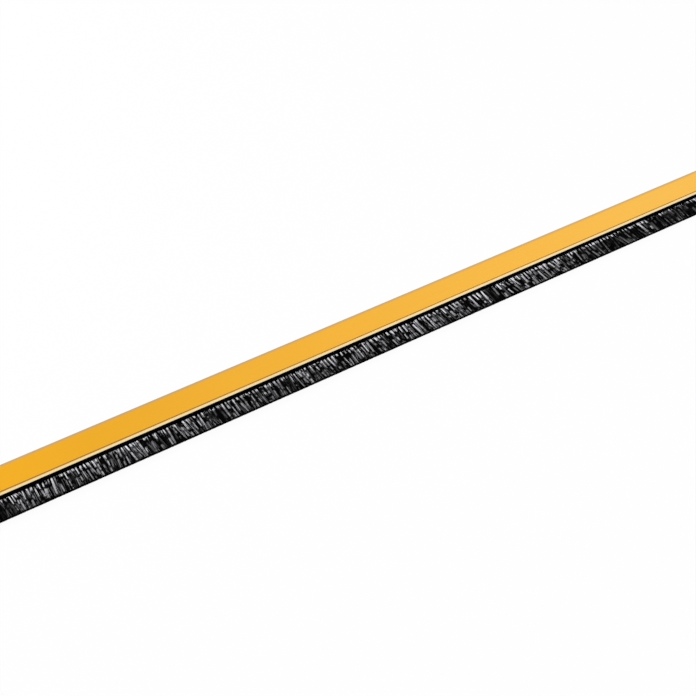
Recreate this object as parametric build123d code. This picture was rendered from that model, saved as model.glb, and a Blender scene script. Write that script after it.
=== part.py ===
"""Brush seal strip for a door: a gold aluminium carrier that holds a black brush along one edge.

The strip lies on its back with its plain face up. X runs along the strip, the bristles point
to -Y and Z is up. The origin is below the middle of the strip, on the floor. Millimetres.
"""

from build123d import *
import math
import os

# The stock and its carrier
strip_length = 914.0        # a 36 inch door
carrier_width = 25.0        # from the far edge of the face to the front of the nose
face_thickness = 1.2        # the plate that shows
leg_thickness = 1.2         # the leg under the far edge
channel_wall = 1.0          # the walls round the backing
lip_depth = 2.0             # the two lips that keep the backing in
lip_land = 0.1              # upright edge left between the sloping nose and the mouth
nose_slope = 1.4            # how far back the slope of the nose starts
nose_round = 0.25           # where the slope meets the face
nose_flat = 0.2             # flat left between the nose and the groove
groove_width = 0.8          # the fine line along the face
groove_depth = 0.5
edge_round = 0.4            # the far edge of the face
corner_round = 0.25         # the hidden outer corners
inner_round = 0.5           # where the leg and the channel meet the plate

# The backing of the brush
flange_height = 4.8         # the part that sits in the channel
flange_depth = 2.4
neck_height = 2.6           # the part that shows in front of the nose
neck_reach = 2.9
slide_clearance = 0.1       # all round the backing

# The pile
trim_length = 20.0          # from the front of the nose to the trimmed tips
root_thickness = 1.4        # inside the neck
root_depth = 2.2            # how far the pile is held in the neck
pile_thickness = 1.6        # just outside the neck
tip_thickness = 2.2         # at the trimmed tips
lock_pitch = 5.0            # one lock of bristles
root_gap_depth = 0.15       # the gaps between locks, cut into both faces
tip_gap_depth = 0.4
lock_lean = 0.6             # how far a lock's tip strays along the strip

# What follows from those sizes
channel_depth = flange_depth + 2 * slide_clearance
channel_height = flange_height + 2 * slide_clearance
mouth_height = neck_height + 2 * slide_clearance
carrier_height = channel_height + 2 * channel_wall
brush_centre = carrier_height / 2
nose_drop = (carrier_height - mouth_height) / 2 - lip_land
channel_start = carrier_width - lip_depth - channel_depth
plan_width = carrier_width + trim_length
far_edge = plan_width / 2
neck_end = carrier_width + neck_reach

# Across the strip, a section is drawn by its distance from the far edge and its height.
section_plane = Plane(
    origin=(strip_length / 2, far_edge, 0), x_dir=(0, -1, 0), z_dir=(-1, 0, 0)
)


def block(start, end, low, high):
    """A rectangle of a section, between two distances from the far edge and two heights."""
    return Pos((start + end) / 2, (low + high) / 2) * Rectangle(end - start, high - low)


def wedge(*corners):
    """A triangle of a section, between three corners."""
    return make_face(Polyline(*corners, close=True))


def corners_at(section, *places):
    """The corners of a section that lie at the given distances and heights."""
    return [
        corner
        for corner in section.vertices()
        if any(math.dist((corner.X, corner.Y), place) < 1e-4 for place in places)
    ]


def run_along_strip(section, label):
    """A section extruded from one square-cut end of the strip to the other."""
    solid = extrude(section_plane * section, amount=strip_length)
    solid.label = label
    return solid


def carrier():
    """One extrusion: face plate, far leg, and the channel with its sloping nose and two lips."""
    top = carrier_height
    web = channel_start - channel_wall
    mouth_low = brush_centre - mouth_height / 2
    mouth_high = brush_centre + mouth_height / 2

    plate = block(0, carrier_width, top - face_thickness, top)
    leg = block(0, leg_thickness, 0, top)
    channel = block(web, carrier_width, 0, top)
    section = plate + leg + channel
    section -= block(
        channel_start,
        channel_start + channel_depth,
        channel_wall,
        channel_wall + channel_height,
    )
    section -= block(channel_start, carrier_width, mouth_low, mouth_high)

    plate_low = top - face_thickness
    inner = corners_at(section, (leg_thickness, plate_low), (web, plate_low))
    section = fillet(inner, inner_round)
    section = fillet(corners_at(section, (0, top)), edge_round)
    hidden = corners_at(
        section, (0, 0), (leg_thickness, 0), (web, 0), (carrier_width, 0)
    )
    section = fillet(hidden, corner_round)

    slope_start = carrier_width - nose_slope
    section -= wedge(
        (slope_start, top), (carrier_width, top - nose_drop), (carrier_width, top)
    )
    section = fillet(corners_at(section, (slope_start, top)), nose_round)
    groove_end = slope_start - nose_flat
    section -= wedge(
        (groove_end - groove_width, top),
        (groove_end - groove_width / 2, top - groove_depth),
        (groove_end, top),
    )
    return run_along_strip(section, "carrier")


def brush_backing():
    """A flange behind the lips and a neck through the mouth, slotted for the pile."""
    flange_start = channel_start + slide_clearance
    flange_end = flange_start + flange_depth
    flange = block(
        flange_start,
        flange_end,
        brush_centre - flange_height / 2,
        brush_centre + flange_height / 2,
    )
    neck = block(
        flange_end,
        neck_end,
        brush_centre - neck_height / 2,
        brush_centre + neck_height / 2,
    )
    slot = block(
        neck_end - root_depth,
        neck_end,
        brush_centre - root_thickness / 2,
        brush_centre + root_thickness / 2,
    )
    return run_along_strip(flange + neck - slot, "brush_backing")


def pile_section(distance, thickness, gap_depth, lean):
    """The pile cut along the strip: a row of locks, each a ridge between two gaps.

    The gap after each lock strays sideways by the lean times a sine of its number,
    so that no two locks in a row are alike, and the two ends stay square.
    """
    locks = round(strip_length / lock_pitch)
    pitch = strip_length / locks
    ridge = thickness / 2
    valley = ridge - gap_depth

    def gap(number):
        inside = 0 < number < locks
        stray = lean * math.sin(2.4 * number) if inside else 0
        return number * pitch + stray - strip_length / 2

    upper = [(gap(0), ridge)]
    for number in range(locks):
        middle = (gap(number) + gap(number + 1)) / 2
        upper.append((middle, ridge))
        upper.append((gap(number + 1), valley if number + 1 < locks else ridge))
    lower = [(along, -height) for along, height in reversed(upper)]
    outline = Polyline(*upper, *lower, close=True)
    cut = Plane(
        origin=(0, far_edge - distance, brush_centre),
        x_dir=(1, 0, 0),
        z_dir=(0, -1, 0),
    )
    return cut * make_face(outline)


def bristles():
    """The pile: a plain root held in the neck and locks that spread to straight trimmed tips."""
    root = run_along_strip(
        block(
            neck_end - root_depth,
            neck_end,
            brush_centre - root_thickness / 2,
            brush_centre + root_thickness / 2,
        ),
        "root",
    )
    free_root = pile_section(neck_end, pile_thickness, root_gap_depth, 0)
    tips = pile_section(plan_width, tip_thickness, tip_gap_depth, lock_lean)
    pile = root + loft([free_root, tips], ruled=True)
    pile.label = "bristles"
    return pile


os.makedirs("parts", exist_ok=True)
for piece in (carrier(), brush_backing(), bristles()):
    export_step(piece, f"parts/{piece.label}.step")
    print(piece.label, round(piece.volume), "mm3")
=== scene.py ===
# %% [markdown]
# A brush seal strip for a door, laid on its back on a white table.
# The gold carrier is one aluminium extrusion, and the black brush stands out of its near edge.
# This lesson loads the measured parts first, then gives each one its finish, and then grows
# the brush filament by filament from a few formulas.

import math

import bpy
import numpy as np
from mathutils import Matrix, Vector


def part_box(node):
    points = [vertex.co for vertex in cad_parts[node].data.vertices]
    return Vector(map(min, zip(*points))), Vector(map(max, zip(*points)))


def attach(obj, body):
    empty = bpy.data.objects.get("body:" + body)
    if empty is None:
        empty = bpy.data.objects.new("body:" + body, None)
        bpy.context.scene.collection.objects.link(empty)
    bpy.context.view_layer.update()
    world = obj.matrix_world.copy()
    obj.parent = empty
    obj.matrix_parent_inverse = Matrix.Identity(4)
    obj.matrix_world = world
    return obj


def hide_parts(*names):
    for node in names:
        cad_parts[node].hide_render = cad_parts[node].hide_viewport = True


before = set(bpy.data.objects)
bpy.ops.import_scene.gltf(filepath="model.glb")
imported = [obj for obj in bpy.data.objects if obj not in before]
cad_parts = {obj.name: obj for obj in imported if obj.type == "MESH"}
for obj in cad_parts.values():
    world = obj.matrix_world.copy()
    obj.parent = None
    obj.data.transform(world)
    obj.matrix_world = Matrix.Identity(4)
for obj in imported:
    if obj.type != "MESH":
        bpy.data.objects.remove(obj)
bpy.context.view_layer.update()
print("parts:", sorted(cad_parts))

# %% [markdown]
# Places are in metres, apart from the values that say mm. Those that the brush needs are read
# from the parts themselves: where the black neck ends, where the bristles are trimmed, and how
# thick the pile is at its tips. Only the sizes that no part states are written in this script.

# %% Places read from the parts
MM = 0.001
carrier_low, carrier_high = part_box("carrier")
neck_low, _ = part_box("brush_backing")
pile_low, pile_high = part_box("bristles")
END_X = float(pile_high.x)
NOSE_Y = float(carrier_low.y)
FAR_Y = float(carrier_high.y)
ROOT_Y = float(neck_low.y)
TIP_Y = float(pile_low.y)
PILE_MIDDLE = float(pile_low.z + pile_high.z) / 2
TIP_HALF = float(pile_high.z - pile_low.z) / 2
print("free bristle length in mm:", round((ROOT_Y - TIP_Y) / MM, 2))

# %% [markdown]
# A finish is a tree of shader nodes. Every socket could be fed on a line of its own, but a tree
# is easier to read when each line makes one node and says what feeds it. So one helper sets a
# node's properties and feeds its sockets by name. An effect that several materials share goes
# into a group with named sockets. The groups here only put out masks and heights.

# %% Helpers for shader nodes
FLOAT = "NodeSocketFloat"


def set_node(tree, node, **values):
    """Sets properties and feeds sockets by name. A socket takes a plain value or an output."""
    for name, value in values.items():
        label = name.replace("_", " ")
        if hasattr(node, name):
            setattr(node, name, value)
        elif isinstance(value, bpy.types.NodeSocket):
            tree.links.new(value, node.inputs[label])
        else:
            node.inputs[label].default_value = value
    return node


def add_node(tree, kind, **values):
    """A new node of that kind, with its properties and sockets set by name."""
    return set_node(tree, tree.nodes.new(kind), **values)


def calculate(tree, operation, first, second=0.0):
    """The result of a Math node on two inputs, each a plain number or an output."""
    node = add_node(tree, "ShaderNodeMath", operation=operation)
    for socket, value in zip(node.inputs, (first, second)):
        if isinstance(value, bpy.types.NodeSocket):
            tree.links.new(value, socket)
        else:
            socket.default_value = value
    return node.outputs["Value"]


def new_group(name, inputs, outputs):
    """A node group of float sockets: its inputs by name and default, its outputs by name."""
    tree = bpy.data.node_groups.new(name, "ShaderNodeTree")
    for label, value in inputs.items():
        socket = tree.interface.new_socket(label, in_out="INPUT", socket_type=FLOAT)
        socket.default_value = value
    for label in outputs:
        tree.interface.new_socket(label, in_out="OUTPUT", socket_type=FLOAT)
    start = add_node(tree, "NodeGroupInput")
    end = add_node(tree, "NodeGroupOutput")
    return tree, start, end


print("socket names are those of Blender", bpy.app.version_string)

# %% [markdown]
# An extruded bar carries fine lines along its length, where the die dragged on the metal.
# They could be modelled, but each is only microns deep, so they are a noise pattern stretched
# along X. Both the aluminium and the plastic backing are extruded, so the pattern is a group.

# %% Group: lines left by the extrusion die
LINE_SQUEEZE = (0.004, 1.0, 1.0)


def die_lines_group():
    """Noise in object space, squeezed along X so that it draws long lines.

    Height is the line pattern, from 0 to 1. Patches is a slow cloud along the strip, for the
    faint unevenness of a finish. The scale of each noise is 1 over its size in metres.
    """
    tree, start, end = new_group(
        "die_lines",
        {"Line Width mm": 0.5, "Patch Length mm": 60.0},
        ["Height", "Patches"],
    )
    place = add_node(tree, "ShaderNodeTexCoord").outputs["Object"]
    squeeze = add_node(tree, "ShaderNodeVectorMath", operation="MULTIPLY")
    tree.links.new(place, squeeze.inputs[0])
    squeeze.inputs[1].default_value = LINE_SQUEEZE
    lines = add_node(
        tree,
        "ShaderNodeTexNoise",
        Vector=squeeze.outputs["Vector"],
        Scale=calculate(tree, "DIVIDE", 1 / MM, start.outputs["Line Width mm"]),
        Detail=4.0,
        Roughness=0.7,
    )
    cloud = add_node(
        tree,
        "ShaderNodeTexNoise",
        Vector=place,
        Scale=calculate(tree, "DIVIDE", 1 / MM, start.outputs["Patch Length mm"]),
        Detail=2.0,
        Roughness=0.5,
    )
    set_node(tree, end, Height=lines.outputs["Fac"], Patches=cloud.outputs["Fac"])
    return tree


die_lines = die_lines_group()
print("group:", die_lines.name, "with nodes:", len(die_lines.nodes))


# %% [markdown]
# Some colours here run the whole length of the extrusion at one distance across it: painted
# shade in a groove and along the rounded far rim, and a painted highlight on the sloping nose.
# Each could have its own material on its own faces, but then its edges would be hard. One group
# draws them all as soft bands instead. It measures how far a point lies from a line along X, and
# only marks the upper side.

# %% Group: a mark along the strip
def remap(tree, value, target, span=(0.0, 1.0), curve="LINEAR"):
    """A value carried from one range, the span, to another, the target, and held at its ends."""
    node = add_node(
        tree,
        "ShaderNodeMapRange",
        interpolation_type=curve,
        Value=value,
        From_Min=span[0],
        From_Max=span[1],
        To_Min=target[0],
        To_Max=target[1],
    )
    return node.outputs["Result"]


def object_place(tree):
    """The place on the piece in metres, as outputs named X, Y and Z."""
    place = add_node(tree, "ShaderNodeTexCoord")
    return add_node(tree, "ShaderNodeSeparateXYZ", Vector=place.outputs["Object"]).outputs


def band_group():
    """Mask of a band along X: 1 within the half width of its middle, fading over the softness.

    Distance is |y - middle| in mm, and the mask is 1 - smoothstep(half width - softness,
    half width + softness). Below the given height it is 0.
    """
    tree, start, end = new_group(
        "band_along_strip",
        {"Middle mm": 0.0, "Half Width mm": 1.0, "Softness mm": 0.1, "Above mm": 0.0},
        ["Mask"],
    )
    place = object_place(tree)
    across = calculate(tree, "MULTIPLY", place["Y"], 1 / MM)
    offset = calculate(tree, "SUBTRACT", across, start.outputs["Middle mm"])
    distance = calculate(tree, "ABSOLUTE", offset)
    half = start.outputs["Half Width mm"]
    softness = start.outputs["Softness mm"]
    inner = calculate(tree, "SUBTRACT", half, softness)
    outer = calculate(tree, "ADD", half, softness)
    fade = remap(tree, distance, (1.0, 0.0), (inner, outer), "SMOOTHSTEP")
    height = calculate(tree, "MULTIPLY", place["Z"], 1 / MM)
    upper = calculate(tree, "GREATER_THAN", height, start.outputs["Above mm"])
    set_node(tree, end, Mask=calculate(tree, "MULTIPLY", fade, upper))
    return tree


band_along_strip = band_group()
print("group:", band_along_strip.name, "with nodes:", len(band_along_strip.nodes))


# %% [markdown]
# Each measured part wears a plain finish so far, in one colour. A real finish is never that
# even, so each material here starts with one shader and mixes several colours by masks, and
# then takes the place of the plain one. Painted pictures would do it too, but these patterns
# stay sharp from near by.

# %% Helpers for materials
def empty_tree(owner):
    """The cleared node tree of a material or a world."""
    owner.use_nodes = True
    owner.node_tree.nodes.clear()
    return owner.node_tree


def new_material(name):
    """An empty material with its output and one Principled shader joined up."""
    material = bpy.data.materials.new(name)
    tree = empty_tree(material)
    shader = add_node(tree, "ShaderNodeBsdfPrincipled")
    add_node(tree, "ShaderNodeOutputMaterial", Surface=shader.outputs["BSDF"])
    return material, tree, shader


def use_group(tree, group, **values):
    """A copy of a group inside a material, with its named inputs set."""
    return add_node(tree, "ShaderNodeGroup", node_tree=group, **values)


def mix_colour(tree, amount, first, second):
    """A colour between two, each a plain colour or an output, mixed by a mask."""
    first, second = [
        (*colour, 1.0) if isinstance(colour, tuple) else colour for colour in (first, second)
    ]
    mix = add_node(tree, "ShaderNodeMix", data_type="RGBA", Factor=amount, A=first, B=second)
    return mix.outputs["Result"]


def dress(node, material):
    """Gives a measured part its one finish, in place of the plain one."""
    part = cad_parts[node]
    part.data.materials.clear()
    part.data.materials.append(material)
    print(node, "vertices:", len(part.data.vertices), "finish:", material.name)


plain = [part.data.materials[0].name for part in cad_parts.values()]
print("plain finishes:", plain)

# %% [markdown]
# Four marks are painted along the carrier. Its sloping nose carries a painted highlight, the pale
# of light glancing off it, and the lowest edge of the nose a painted shade. The bottom of the
# groove behind it is painted dark as shade, and the rounded far rim carries a painted shade too.
# Each is one row of numbers for the band group: the middle of the mark, its half width and its
# softness, in mm, and the colour there.

# %% Marks along the carrier
# Painted highlight on the sloping nose, the pale of light glancing off it.
PAINTED_NOSE_HIGHLIGHT = (1.0, 0.77, 0.40)
# Painted shade on the lowest edge of the nose.
EDGE_SHADE = (0.08, 0.05, 0.02)
# Painted shade at the bottom of the groove; the same darker gold also tints the die lines.
GROOVE_SHADE_AND_DIE_LINES = (0.40, 0.20, 0.04)
# Painted shade along the rounded far rim.
RIM_SHADE = (0.45, 0.34, 0.20)
NOSE_MM = NOSE_Y / MM
SLOPE_HALF_MM = 0.6
EDGE_HALF_MM = 0.15
GROOVE_FROM_NOSE_MM = 2.0
GROOVE_HALF_MM = 0.4
RIM_HALF_MM = 2.0
UPPER_SIDE_MM = 4.0
# Rows: the nose's painted highlight, then painted shade on its edge, in the groove and on the far
# rim.
MARKS = (
    (NOSE_MM + SLOPE_HALF_MM, SLOPE_HALF_MM, 0.08, PAINTED_NOSE_HIGHLIGHT),
    (NOSE_MM, EDGE_HALF_MM, 0.04, EDGE_SHADE),
    (NOSE_MM + GROOVE_FROM_NOSE_MM, GROOVE_HALF_MM, 0.1, GROOVE_SHADE_AND_DIE_LINES),
    (FAR_Y / MM, RIM_HALF_MM, RIM_HALF_MM, RIM_SHADE),
)


def add_marks(tree, colour):
    """A colour with each mark mixed over it in turn, by its own band on the upper side."""
    for middle, half, softness, shade in MARKS:
        band = use_group(
            tree,
            band_along_strip,
            Middle_mm=middle,
            Half_Width_mm=half,
            Softness_mm=softness,
            Above_mm=UPPER_SIDE_MM,
        )
        colour = mix_colour(tree, band.outputs["Mask"], colour, shade)
    return colour


print("middles of the marks in mm:", [round(mark[0], 2) for mark in MARKS])

# %% [markdown]
# The carrier is gold anodised aluminium: a metal whose colour sits in a thin clear oxide
# layer. A metallic shader gives the colour and a thin coat gives the cooler glint of the
# The gold also grows paler and whiter towards one end of the bar: a painted sheen, as of light
# glancing off it there.

# %% Finish of the carrier
GOLD = (0.770, 0.362, 0.004)
GOLD_PALE = (0.815, 0.392, 0.009)
# Painted sheen: the gold grows paler and whiter towards the far end.
GOLD_SHEEN_END = (0.87, 0.485, 0.068)
SHEEN_FROM = -0.34
LINE_SHADE = 0.12
GOLD_ROUGHNESS = (0.26, 0.52)
LINE_DEPTH = 0.03 * MM


def gold_anodised():
    """Gold metal with fine lines, paler to one end, with the marks along the strip over it.

    The die lines mix in up to the line shade of a darker gold, and roughen and tilt it. The
    paleness towards one end is a painted sheen.
    """
    material, tree, shader = new_material("gold_anodised")
    lines = use_group(tree, die_lines, Line_Width_mm=0.4, Patch_Length_mm=70.0)
    height = lines.outputs["Height"]
    towards_sheen = remap(tree, object_place(tree)["X"], (0.0, 1.0), (SHEEN_FROM, END_X))
    gold = mix_colour(tree, lines.outputs["Patches"], GOLD, GOLD_PALE)
    # Painted sheen towards the far end.
    gold = mix_colour(tree, towards_sheen, gold, GOLD_SHEEN_END)
    # The die lines take the darker gold that also paints the groove's shade.
    gold = mix_colour(tree, remap(tree, height, (0.0, LINE_SHADE)), gold, GROOVE_SHADE_AND_DIE_LINES)
    bump = add_node(tree, "ShaderNodeBump", Strength=0.3, Distance=LINE_DEPTH, Height=height)
    set_node(
        tree,
        shader,
        Base_Color=add_marks(tree, gold),
        Roughness=remap(tree, height, GOLD_ROUGHNESS),
        Normal=bump.outputs["Normal"],
        Metallic=1.0,
        Coat_Weight=0.25,
        Coat_Roughness=0.2,
    )
    return material


dress("carrier", gold_anodised())

# %% [markdown]
# The backing is black polypropylene. Only its neck shows, as the plain black band between the
# nose and the bristles, and it lies in the shade of the nose. It is nearly black and dull, so
# that it stays darker than the bristles, which catch the light.

# %% Finish of the backing
NECK_BLACK = (0.0008, 0.0005, 0.0005)
NECK_WORN = (0.002, 0.0012, 0.0012)
NECK_ROUGHNESS = (0.7, 0.9)


def black_plastic():
    """Dull black plastic with faint lines along the strip."""
    material, tree, shader = new_material("black_plastic")
    lines = use_group(tree, die_lines, Line_Width_mm=0.3, Patch_Length_mm=40.0)
    set_node(
        tree,
        shader,
        Base_Color=mix_colour(tree, lines.outputs["Patches"], NECK_BLACK, NECK_WORN),
        Roughness=remap(tree, lines.outputs["Height"], NECK_ROUGHNESS),
        Specular_IOR_Level=0.0,
    )
    return material


dress("brush_backing", black_plastic())

# %% [markdown]
# A brush is thousands of loose filaments. Hair particles would draw them, but they are not
# meshes, so each filament here is a thin three-sided tube, and all of them are worked out
# together as arrays. They lie in four layers, each between two levels of the pile, where -1 is
# its underside and 1 its upper side. Two dull black layers fill the pile, and two layers of
# shiny strands lie over them with dark gaps between. The share is a layer's part of all the
# filaments, the pitch is about the width of its strands in mm, and gather says how much of
# its width a strand fills with filaments.

# %% The layers of the brush
FILAMENTS = 32000
SOLE = {
    "share": 0.14, "low": -1.0, "high": -0.8, "pitch": 3.0, "gather": 1.0, "lean": 0.8,
    "glint": 0.0, "body": 0.0,
}
FILL = {
    "share": 0.28, "low": -0.8, "high": 0.3, "pitch": 3.0, "gather": 1.0, "lean": 1.2,
    "glint": 0.0, "body": 0.0,
}
MIDDLE = {
    "share": 0.24, "low": 0.1, "high": 0.7, "pitch": 2.6, "gather": 0.4, "lean": 1.8,
    "glint": 2.9, "body": 0.6,
}
TOP = {
    "share": 0.34, "low": 0.6, "high": 1.0, "pitch": 3.4, "gather": 0.3, "lean": 1.8,
    "glint": 4.2, "body": 2.4,
}
layers = (SOLE, FILL, MIDDLE, TOP)
print("filaments by layer:", [int(FILAMENTS * layer["share"]) for layer in layers])

# %% [markdown]
# What the eye sees first is not the single filament but the strand: a few dozen that cling and
# bend together. So the strands of a layer are drawn before its filaments, from seeded random
# numbers. The painted highlight of the strands is also uneven along the strip: in a few short
# places it is dimmed from root to tip, and in longer runs, where the strands turn away from the
# light, its body is painted darker, or the roots are painted brighter. Each such place is
# written as its middle and half length in mm and the level there. A pair named ALONG runs from
# one end of the strip to the other, and one named SPREAD limits a random draw.

# %% The strands of a layer
# Places where the painted highlight of the strands is dimmed from root to tip.
UNLIT_PLACES = ((-285, 5, 0.4), (48, 4, 0.4), (79, 7, 0.05), (98, 4, 0.3))
# Runs where the body's painted highlight is dimmed; below, a run where the roots' is brightened.
DULL_RUNS = (
    (-384, 20, 0.0),
    (-248, 48, 0.75),
    (-196, 14, 0.1),
    (-125, 80, 0.65),
    (330, 235, 0.1),
)
ROOT_RUNS = ((180, 110, 3.0),)
MEAN_WIDTH = 1.13
WIDTH_SPREAD = (0.7, 1.3)
WIDTH_ALONG = (0.85, 1.45)
GROUP_LENGTH = 8.0 * MM
OWN_LEAN = 0.5
DEAD_ALONG = (0.04, 0.10)
DEAD_LEVEL = 0.02
BODY_SPREAD = (0.32, 0.68)
BODY_ALONG = (1.02, 1.33)
GLINT_SPREAD = (0.1, 1.0)
GLINT_POWER_ALONG = (0.7, 1.9)
DULLED_SHARE = 0.85
LESS_DULLED = 0.4
BOW = 0.4 * MM
LIFT = 0.3 * MM
SQUEEZE_SPREAD = (0.6, 1.1)
NUMBER_RANGE = 500.0
rng = np.random.default_rng(82)


def level_along(centre, places):
    """A factor of 1 along the strip that falls or rises to a level at each place.

    A place is its middle and half length in mm and its level, held over half of its length.
    """
    level = np.ones_like(centre)
    for middle, half, there in places:
        away = np.clip(np.abs(centre / MM - middle) / half * 2.0 - 1.0, 0.0, 1.0)
        level = level * (there + (1.0 - there) * away)
    return level


def draw_strands(layer):
    """The strands of one layer: centres about a pitch apart, each a little off its place.

    Their count is the length of the strip over the pitch times the mean width, and they grow
    wider from one end to the other, by seven tenths. Lean is how far the tips stray along the
    strip: neighbours lean together, so one part of it is read from random values a group
    length apart, and the other part is the strand's own. Bow is how far its middle bends
    aside, squeeze how much of its root width is left at its tips, and lift how far its tips
    rise or sink. Glint is the painted highlight at its root and body the painted highlight
    along the rest, each times the layer's own level. A dead strand is turned away from the
    light and has hardly any painted body. An unlit place dims both, a root run changes the
    glint, and in a dull run most strands lose some or all of their painted body. The number
    gives the painted streak of each strand its own dashes.
    """
    count = int(round(2 * END_X / (layer["pitch"] * MEAN_WIDTH * MM)))
    steps = rng.uniform(*WIDTH_SPREAD, count) * np.linspace(*WIDTH_ALONG, count)
    edges = np.concatenate([[0.0], np.cumsum(steps)])
    edges = edges / edges[-1] * 2 * END_X - END_X
    centre = (edges[1:] + edges[:-1]) / 2
    knots = np.linspace(-END_X, END_X, int(2 * END_X / GROUP_LENGTH))
    lean = layer["lean"] * MM
    together = np.interp(centre, knots, rng.normal(0.0, lean, knots.size))
    unlit = level_along(centre, UNLIT_PLACES)
    dead = rng.random(count) < np.linspace(*DEAD_ALONG, count)
    body = np.where(dead, DEAD_LEVEL, 1.0) * rng.uniform(*BODY_SPREAD, count)
    body = body * np.linspace(*BODY_ALONG, count)
    glint = rng.uniform(*GLINT_SPREAD, count) ** np.linspace(*GLINT_POWER_ALONG, count)
    glint = glint * level_along(centre, ROOT_RUNS)
    dulled = np.where(rng.random(count) < DULLED_SHARE, 1.0, LESS_DULLED)
    return {
        "edges": edges,
        "centre": centre,
        "width": np.diff(edges) * layer["gather"],
        "lean": together + rng.normal(0.0, lean * OWN_LEAN, count),
        "bow": rng.normal(0.0, BOW, count),
        "squeeze": rng.uniform(*SQUEEZE_SPREAD, count),
        "lift": rng.normal(0.0, LIFT, count),
        "glint": glint * unlit * layer["glint"],
        "body": body * unlit * layer["body"],
        "dull": (1.0 - level_along(centre, DULL_RUNS)) * dulled,
        "number": rng.uniform(0.0, NUMBER_RANGE, count),
    }


print("mean distance of the top strands in mm:", round(TOP["pitch"] * MEAN_WIDTH, 2))

# %% [markdown]
# A filament is a curve from its place in the slot of the neck to its trimmed tip. The slot
# pinches the pile, so the filaments flare out of it and then run nearly straight, and each tip
# follows its strand. The points are close together at the flare and at the tip, where the
# colour changes, and further apart between them. The dull filling needs fewer points.

# %% The filaments' centre lines
FILAMENT_RADIUS = 0.1 * MM
SLOT_HALF = 0.7 * MM
ROOT_DEPTH = 0.3 * MM
TIP_REACH = 0.75 * MM
TIP_UNEVEN = 0.04 * MM
PAST_END = 1.5 * MM
OWN_SHIFT = 0.12 * MM
STRAY_SHARE = 0.05
STRAY_SHIFT = 2.0 * MM
TIP_ROUNDING = 0.3
FLARE_POWER = 0.12
OWN_NUMBER = 0.15
FILLING_POINTS = np.array([0.0, 0.12, 0.5, 1.0])
STRAND_POINTS = np.array([0.0, 0.08, 0.20, 0.50, 0.95, 0.975, 1.0])
GLINT_END = 0.14
BODY_FALL = 1.2
TIP_EASE = 0.5
TRIMMED_FROM = 0.96
SHARE_SPREAD = (0.4, 1.3)


def shine_along(strands, chosen, t):
    """How pale each filament is at each point t, from 0 in the neck to 1 at the tip.

    Glint (1 - t / glint end), where that is above 0, and body e^(-fall t) (1 - dull), the two
    parts of the painted highlight, added and times a random share for each filament.
    that its tips stay a little paler. The shine is 0 where the tips are trimmed.
    """
    glint = strands["glint"][chosen][:, None] * np.clip(1.0 - t / GLINT_END, 0.0, 1.0)
    dull = strands["dull"][chosen][:, None] * (1.0 - TIP_EASE * t**4)
    body = strands["body"][chosen][:, None] * np.exp(-BODY_FALL * t) * (1.0 - dull)
    shine = (glint + body) * rng.uniform(*SHARE_SPREAD, chosen.size)[:, None]
    return shine * (t < TRIMMED_FROM)


def filament_lines(layer, along):
    """Centre lines, shine and strand number of one layer, as arrays of count by points.

    x = root + (lean + squeeze) * t + bow * 4 t (1 - t), y runs evenly from neck to tip, and
    z goes from the root height to the tip height by t to the flare power. In the upper half of
    the pile the tips of a strand are rounded: those at its sides lie lower.
    """
    count = int(FILAMENTS * layer["share"])
    strands = draw_strands(layer)
    chosen = np.searchsorted(strands["edges"], rng.uniform(-END_X, END_X, count)) - 1
    chosen = np.clip(chosen, 0, strands["width"].size - 1)
    across = rng.uniform(-0.5, 0.5, count)
    width = strands["width"][chosen]
    root_x = strands["centre"][chosen] + across * width
    shift = strands["lean"][chosen] - across * width * (1 - strands["squeeze"][chosen])
    shift = shift + rng.normal(0.0, OWN_SHIFT, count)
    stray = rng.random(count) < STRAY_SHARE
    shift = np.where(stray, shift + rng.normal(0.0, STRAY_SHIFT, count), shift)
    band = rng.uniform(layer["low"], layer["high"], count)
    root_z = band * (SLOT_HALF - FILAMENT_RADIUS)
    dip = np.where(band > 0, TIP_ROUNDING * (2 * across) ** 2, 0.0)
    tip_z = (band - dip) * TIP_HALF + np.where(band > 0, strands["lift"][chosen], 0.0)
    tip_z = np.clip(tip_z, -TIP_HALF + FILAMENT_RADIUS, TIP_HALF - FILAMENT_RADIUS)
    t = along[None, :]
    x = root_x[:, None] + shift[:, None] * t + strands["bow"][chosen][:, None] * 4 * t * (1 - t)
    x = np.clip(x, -END_X - PAST_END, END_X + PAST_END)
    tip_y = TIP_Y - TIP_REACH + np.abs(rng.normal(0.0, TIP_UNEVEN, count))
    root_y = ROOT_Y + ROOT_DEPTH
    y = root_y + (tip_y[:, None] - root_y) * t
    z = PILE_MIDDLE + root_z[:, None] + (tip_z - root_z)[:, None] * t**FLARE_POWER
    shine = shine_along(strands, chosen, t)
    number = strands["number"][chosen] + rng.uniform(0.0, OWN_NUMBER, count)
    return np.stack([x, y, z], axis=-1), shine, np.repeat(number[:, None], t.size, axis=1)


print("points along a filling and a shiny filament:", FILLING_POINTS.size, STRAND_POINTS.size)

# %% [markdown]
# A tube needs only its centre line and a ring. A curve with a bevel would make one, but with
# thousands of them that is slow. So the rings of all tubes are laid out in one array, and their
# faces are counted off from it. The shine and the strand's number stay on the points, where
# the shader reads them.

# %% Tubes round the centre lines
SIDES = 3


def tube_faces(count, points):
    """The corners of all faces as vertex numbers, and where each face starts among them.

    Side k of point j of tube i is vertex (i * points + j) * sides + k. A wall joins sides k and
    k + 1 of one point to those of the next point, and a cap closes the last point.
    """
    tube = np.arange(count)[:, None, None] * points * SIDES
    step = np.arange(points - 1)[None, :, None] * SIDES
    side = np.arange(SIDES)[None, None, :]
    low = tube + step + side
    beside = tube + step + (side + 1) % SIDES
    walls = np.stack([low, beside, beside + SIDES, low + SIDES], axis=-1)
    caps = tube[:, 0] + (points - 1) * SIDES + side[0]
    corners = np.concatenate([walls.ravel(), caps.ravel()])
    wall_starts = np.arange(low.size) * 4
    cap_starts = walls.size + np.arange(count) * SIDES
    starts = np.concatenate([wall_starts, cap_starts])
    return corners.astype(np.int32), starts.astype(np.int32)


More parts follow.
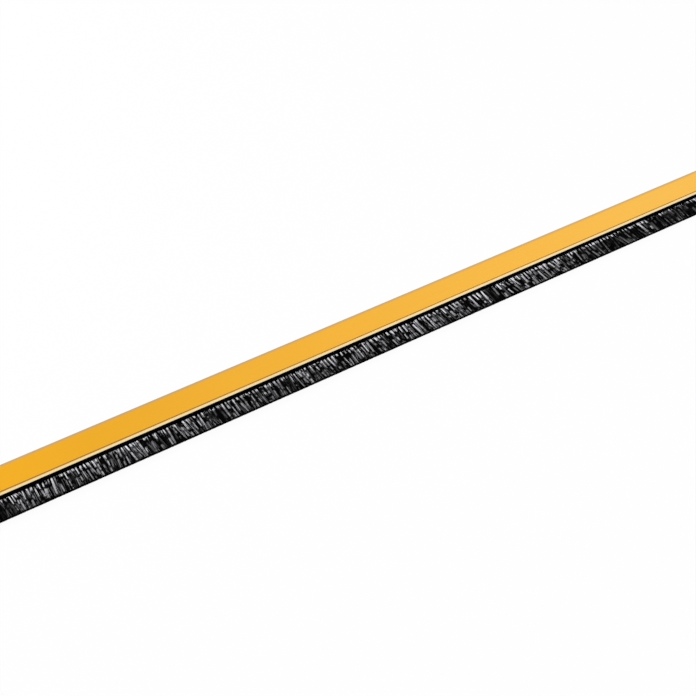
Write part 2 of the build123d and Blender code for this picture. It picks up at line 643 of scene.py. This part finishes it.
def tube_mesh(name, lines, shine, number):
    """Tubes round centre lines, closed at the tips, with two values on each vertex.

    The ring at each point is the radius times cosine and sine of evenly spaced angles, along X
    and Z, as the filaments run along Y. Each tube's ring starts at its own random angle.
    """
    count, points, _ = lines.shape
    turn = rng.uniform(0.0, 2 * math.pi, count)
    angle = turn[:, None] + np.arange(SIDES)[None, :] * 2 * math.pi / SIDES
    ring = np.stack([np.cos(angle), np.zeros_like(angle), np.sin(angle)], axis=-1)
    places = lines[:, :, None, :] + ring[:, None, :, :] * FILAMENT_RADIUS
    corners, starts = tube_faces(count, points)

    mesh = bpy.data.meshes.new(name)
    mesh.vertices.add(count * points * SIDES)
    mesh.vertices.foreach_set("co", places.astype(np.float32).ravel())
    mesh.loops.add(len(corners))
    mesh.loops.foreach_set("vertex_index", corners)
    mesh.polygons.add(len(starts))
    mesh.polygons.foreach_set("loop_start", starts)
    mesh.update(calc_edges=True)
    mesh.validate()
    mesh.polygons.foreach_set("use_smooth", np.ones(len(starts), bool))
    for label, values in (("shine", shine), ("strand", number)):
        kept = mesh.attributes.new(label, "FLOAT", "POINT")
        kept.data.foreach_set("value", np.repeat(values.ravel(), SIDES).astype(np.float32))
    return mesh


print("filament thickness in mm:", round(2 * FILAMENT_RADIUS / MM, 2))

# %% [markdown]
# The filaments are glossy black, and the light breaks into pale streaks where a strand lies
# across it. The gloss of one filament is far narrower than a picture can show, so the streak is
# painted on as a highlight: an attribute on the mesh lifts the colour towards a cool grey and
# smooths the surface, and the shader adds only a trace of true gloss. A strand bends in and
# out of the light along its length, so a noise that runs along it, with its own number for each
# strand, breaks the painted streak into dashes.

# %% Finish of the shiny strands
DULL_BLACK = (0.0010, 0.0008, 0.0010)
# The grey of the painted highlight on the black filaments.
PAINTED_GLINT_GREY = (0.93, 0.93, 0.98)
DASHES_PER_M = 160.0
DASH_EDGE = (0.42, 0.55)
STRAND_ROUGHNESS = (0.5, 0.25)


def shiny_filament():
    """Black plastic whose colour and roughness follow the shine, broken into dashes."""
    material, tree, shader = new_material("shiny_filament")
    shine = add_node(tree, "ShaderNodeAttribute", attribute_name="shine").outputs["Fac"]
    strand = add_node(tree, "ShaderNodeAttribute", attribute_name="strand").outputs["Fac"]
    along = calculate(tree, "MULTIPLY", object_place(tree)["Y"], DASHES_PER_M)
    spot = add_node(tree, "ShaderNodeCombineXYZ", X=along, Y=strand)
    noise = add_node(
        tree, "ShaderNodeTexNoise", Vector=spot.outputs["Vector"], Scale=1.0, Detail=1.0
    )
    dash = remap(tree, noise.outputs["Fac"], (0.0, 1.0), DASH_EDGE, "SMOOTHSTEP")
    lit = calculate(tree, "MULTIPLY", shine, dash)
    # The colour carries the painted highlight: black lifted to grey where the shine is.
    set_node(
        tree,
        shader,
        Base_Color=mix_colour(tree, lit, DULL_BLACK, PAINTED_GLINT_GREY),
        Roughness=remap(tree, lit, STRAND_ROUGHNESS),
        Specular_IOR_Level=0.03,
    )
    return material


print("length of a dash in mm, about:", round(1 / DASHES_PER_M / MM, 1))

# %% [markdown]
# Hardly any light reaches the inside of the pile, so its filling is a dead black. A single
# black would look like a hole, so a fine noise varies it a little.

# %% Finish of the filling
PILE_BLACK = (0.0006, 0.0005, 0.0006)
PILE_GREY = (0.002, 0.002, 0.002)
SPECKS_PER_M = 900.0


def dull_filament(name):
    """Dead black for the inside of the pile, where hardly any light reaches."""
    material, tree, shader = new_material(name)
    cloud = add_node(tree, "ShaderNodeTexNoise", Scale=SPECKS_PER_M)
    set_node(
        tree,
        shader,
        Base_Color=mix_colour(tree, cloud.outputs["Fac"], PILE_BLACK, PILE_GREY),
        Roughness=0.8,
        Specular_IOR_Level=0.01,
    )
    return material


print("size of a speck in mm, about:", round(1 / SPECKS_PER_M / MM, 1))

# %% [markdown]
# The filaments could all be one mesh, but one that heavy is slow to handle. So they are shared
# out over a few pieces along the strip, by where each one is rooted. Every piece rides on the
# strip, and together they stand for the measured curtain of bristles.

# %% Grow the brush
RUNS = 4


def new_piece(name, mesh, material):
    """An object in the scene for a mesh, riding on the strip."""
    piece = bpy.data.objects.new(name, mesh)
    bpy.context.scene.collection.objects.link(piece)
    piece.data.materials.append(material)
    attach(piece, "root")
    return piece


def grow(name, layers, along, material):
    """The filaments of several layers, as one piece for each run of the strip."""
    grown = [filament_lines(layer, along) for layer in layers]
    lines, shine, number = (np.concatenate(kind) for kind in zip(*grown))
    run_of = ((lines[:, 0, 0] + END_X) / (2 * END_X) * RUNS).astype(int)
    run_of = np.clip(run_of, 0, RUNS - 1)
    pieces = []
    for run in range(RUNS):
        own = run_of == run
        mesh = tube_mesh(f"{name}_{run + 1}", lines[own], shine[own], number[own])
        pieces.append(new_piece(mesh.name, mesh, material))
        print(mesh.name, "faces:", len(mesh.polygons))
    return pieces


filling = grow("bristle_filling", [SOLE, FILL], FILLING_POINTS, dull_filament("pile_filling"))
strands = grow("bristle_strands", [MIDDLE, TOP], STRAND_POINTS, shiny_filament())
print("pieces of the brush:", len(filling) + len(strands))

# %% [markdown]
# A dark core lies inside the pile and stops the eye from seeing through between the filaments.
# More filaments would do the same, but no light reaches that deep, so one ribbed wedge, uneven
# like the filaments round it, does as well for far fewer faces.

# %% The dark core of the pile
RIB = 0.5 * MM
RIB_UNEVEN = 0.1 * MM
CORE_ROOT_LOW = -0.5 * MM
CORE_TOP = 0.2 * MM
CORE_INSET = 0.15 * MM


def core_mesh():
    """A ribbed wedge from the neck almost to the tips, inside the pile.

    Its section runs round four corners, and each corner's height is shifted by up to the
    unevenness at every rib, so that no two ribs are alike.
    """
    ribs = int(2 * (END_X - RIB) / RIB)
    tip_y = TIP_Y - TIP_REACH + CORE_INSET
    corners = np.array([
        (ROOT_Y, CORE_ROOT_LOW),
        (ROOT_Y, CORE_TOP),
        (tip_y, CORE_TOP),
        (tip_y, -TIP_HALF + CORE_INSET),
    ])
    points = np.empty((ribs, 4, 3))
    points[:, :, 0] = np.linspace(-END_X + RIB, END_X - RIB, ribs)[:, None]
    points[:, :, 1] = corners[None, :, 0]
    uneven = rng.uniform(-RIB_UNEVEN, RIB_UNEVEN, (ribs, 4))
    points[:, :, 2] = PILE_MIDDLE + corners[None, :, 1] + uneven
    start = np.arange(ribs - 1)[:, None] * 4
    side = np.arange(4)[None, :]
    beside = (side + 1) % 4
    walls = np.stack([start + side, start + beside, start + beside + 4, start + side + 4], axis=-1)
    last = (ribs - 1) * 4
    faces = walls.reshape(-1, 4).tolist() + [(3, 2, 1, 0), (last, last + 1, last + 2, last + 3)]
    mesh = bpy.data.meshes.new("bristle_core")
    mesh.from_pydata(points.reshape(-1, 3).tolist(), [], faces)
    mesh.update()
    return mesh


core = new_piece("bristle_core", core_mesh(), dull_filament("pile_core"))
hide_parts("bristles")
print("core faces:", len(core.data.polygons))

# %% [markdown]
# The table is a plain white sheet. A product photograph on white is lit until the sheet is
# white and the shade beside the object has nearly gone. Here the lamps stay plain, and to the
# eye most of the sheet's colour is white by itself, so that a twentieth of the shade is left.

# %% The table
SHADE_FILLED = 0.95
SHEET = (0.9, 0.9, 0.9, 1.0)
WHITE = (1.0, 1.0, 1.0, 1.0)
TABLE_REACH = 6.0
TABLE_TOP = -0.02 * MM
TABLE_CORNERS = ((-1, -1), (1, -1), (1, 1), (-1, 1))


def seen_rays(tree):
    """1 for the rays that show a thing itself: from the camera, a reflection or through glass."""
    rays = add_node(tree, "ShaderNodeLightPath").outputs
    mirrored = calculate(tree, "MAXIMUM", rays["Is Camera Ray"], rays["Is Glossy Ray"])
    return calculate(tree, "MAXIMUM", mirrored, rays["Is Transmission Ray"])


def table_material():
    """White that the light finishes: diffuse, with most of the shade filled in for the eye."""
    material = bpy.data.materials.new("white_table")
    tree = empty_tree(material)
    diffuse = add_node(tree, "ShaderNodeBsdfDiffuse", Color=SHEET)
    white = add_node(tree, "ShaderNodeEmission", Color=WHITE)
    both = add_node(tree, "ShaderNodeMixShader")
    tree.links.new(calculate(tree, "MULTIPLY", seen_rays(tree), SHADE_FILLED), both.inputs[0])
    tree.links.new(diffuse.outputs["BSDF"], both.inputs[1])
    tree.links.new(white.outputs["Emission"], both.inputs[2])
    add_node(tree, "ShaderNodeOutputMaterial", Surface=both.outputs["Shader"])
    return material


def lay_table():
    """One flat square, a hair below the strip, so that the two don't share a plane."""
    mesh = bpy.data.meshes.new("table")
    corners = [(x * TABLE_REACH, y * TABLE_REACH, TABLE_TOP) for x, y in TABLE_CORNERS]
    mesh.from_pydata(corners, [], [(0, 1, 2, 3)])
    table = bpy.data.objects.new("table", mesh)
    bpy.context.scene.collection.objects.link(table)
    table.data.materials.append(table_material())
    return table


table = lay_table()
print("table reach in m:", TABLE_REACH, "corners:", len(table.data.vertices))

# %% [markdown]
# The light is a white studio: an even sky that the metal reflects, and soft lamps. A dark room
# with lamps alone would leave the gold brown, because metal only shows what it reflects. One
# lamp stands behind the strip on the left and lights the upper sides of the bristles, and a
# weaker one on the right evens it out. One in front lights the sloping nose. Together they
# bring a white sheet to just under white.

# %% The light
SKY_STRENGTH = (0.6, 1.0)


def studio_world():
    """White to the camera and in reflections, dimmer as a light on dull surfaces."""
    world = bpy.data.worlds.new("studio")
    bpy.context.scene.world = world
    tree = empty_tree(world)
    strength = remap(tree, seen_rays(tree), SKY_STRENGTH)
    sky = add_node(tree, "ShaderNodeBackground", Color=WHITE, Strength=strength)
    add_node(tree, "ShaderNodeOutputWorld", Surface=sky.outputs["Background"])


def soft_lamp(name, place, size, watts):
    """A square lamp at a place, turned towards the middle of the strip."""
    lamp = bpy.data.lights.new(name, "AREA")
    lamp.shape = "SQUARE"
    lamp.size = size
    lamp.energy = watts
    holder = bpy.data.objects.new(name, lamp)
    bpy.context.scene.collection.objects.link(holder)
    holder.location = place
    holder.rotation_euler = (-Vector(place)).to_track_quat("-Z", "Y").to_euler()


studio_world()
soft_lamp("lamp_left", place=(-0.95, 0.95, 1.0), size=0.5, watts=10.0)
soft_lamp("lamp_front", place=(0.7, -0.6, 1.2), size=0.6, watts=4.0)
soft_lamp("lamp_right", place=(0.85, 0.8, 0.95), size=1.2, watts=0.8)

# %% [markdown]
# The camera looks down on the strip from the left, past the bristles. Its place and tilt were
# fitted to the edges of the strip in the photograph: the three lines run to one vanishing
# point, and the bristles to another. Angles are in degrees. The lens follows from the focal
# length in pixels, the picture's width in pixels and the sensor's width in mm.

# %% The camera
LOOK_DOWN = 46.953
LOOK_RIGHT = 37.908
ROLL = 6.151
FOCAL_PIXELS = 1286.7
PICTURE_PIXELS = 696
SENSOR_MM = 36.0
CAMERA_PLACE = (-0.51423, -0.57882, 0.78328)


def place_camera():
    """Looks along a direction given by its two angles, then rolls about it.

    Forward = (sin right cos down, cos right cos down, -sin down). A level right vector is
    forward x up, and the roll turns right and up about forward.
    """
    down, right, roll = (math.radians(angle) for angle in (LOOK_DOWN, LOOK_RIGHT, ROLL))
    forward = Vector((
        math.sin(right) * math.cos(down),
        math.cos(right) * math.cos(down),
        -math.sin(down),
    ))
    level = forward.cross(Vector((0, 0, 1))).normalized()
    above = level.cross(forward)
    side = level * math.cos(roll) + above * math.sin(roll)
    top = above * math.cos(roll) - level * math.sin(roll)
    turn = Matrix((side, top, -forward)).transposed()
    data = bpy.data.cameras.new("camera")
    data.sensor_width = SENSOR_MM
    data.lens = FOCAL_PIXELS / PICTURE_PIXELS * SENSOR_MM
    camera = bpy.data.objects.new("camera", data)
    bpy.context.scene.collection.objects.link(camera)
    camera.matrix_world = Matrix.Translation(CAMERA_PLACE) @ turn.to_4x4()
    bpy.context.scene.camera = camera
    return camera


camera = place_camera()
bpy.context.scene.view_settings.view_transform = "Standard"
print("lens in mm:", round(camera.data.lens, 1))
